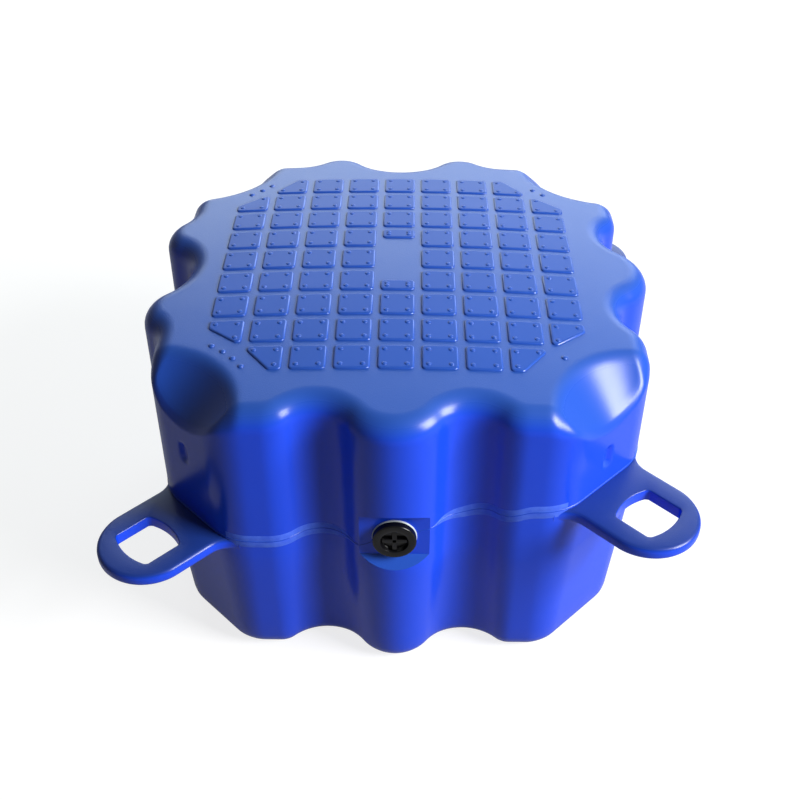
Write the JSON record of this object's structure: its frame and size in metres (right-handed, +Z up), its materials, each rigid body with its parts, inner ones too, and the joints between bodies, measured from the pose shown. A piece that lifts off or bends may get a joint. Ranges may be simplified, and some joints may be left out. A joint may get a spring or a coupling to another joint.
{
  "type": "modular floating dock cube",
  "caption": "Hollow-moulded floating dock cube with wavy interlocking sides, a crowned non-slip deck of raised pads, corner lugs with near-square pin holes and a screw plug.",
  "frame": {"origin": "centre of the underside, midway between the four pin holes", "axes": "+Z up through the deck; the side with the plug faces -Y; +X to the right of that side"},
  "size_m": [0.602, 0.602, 0.3593],
  "materials": {
    "float_plastic": "semi-gloss royal blue moulded plastic",
    "plug_plastic": "black, semi-gloss",
    "seal": "pale translucent sealing ring"
  },
  "bodies": {
    "root": {"float_body": "float_plastic", "screw_plug": "plug_plastic", "plug_seal": "seal"}
  },
  "joints": []
}
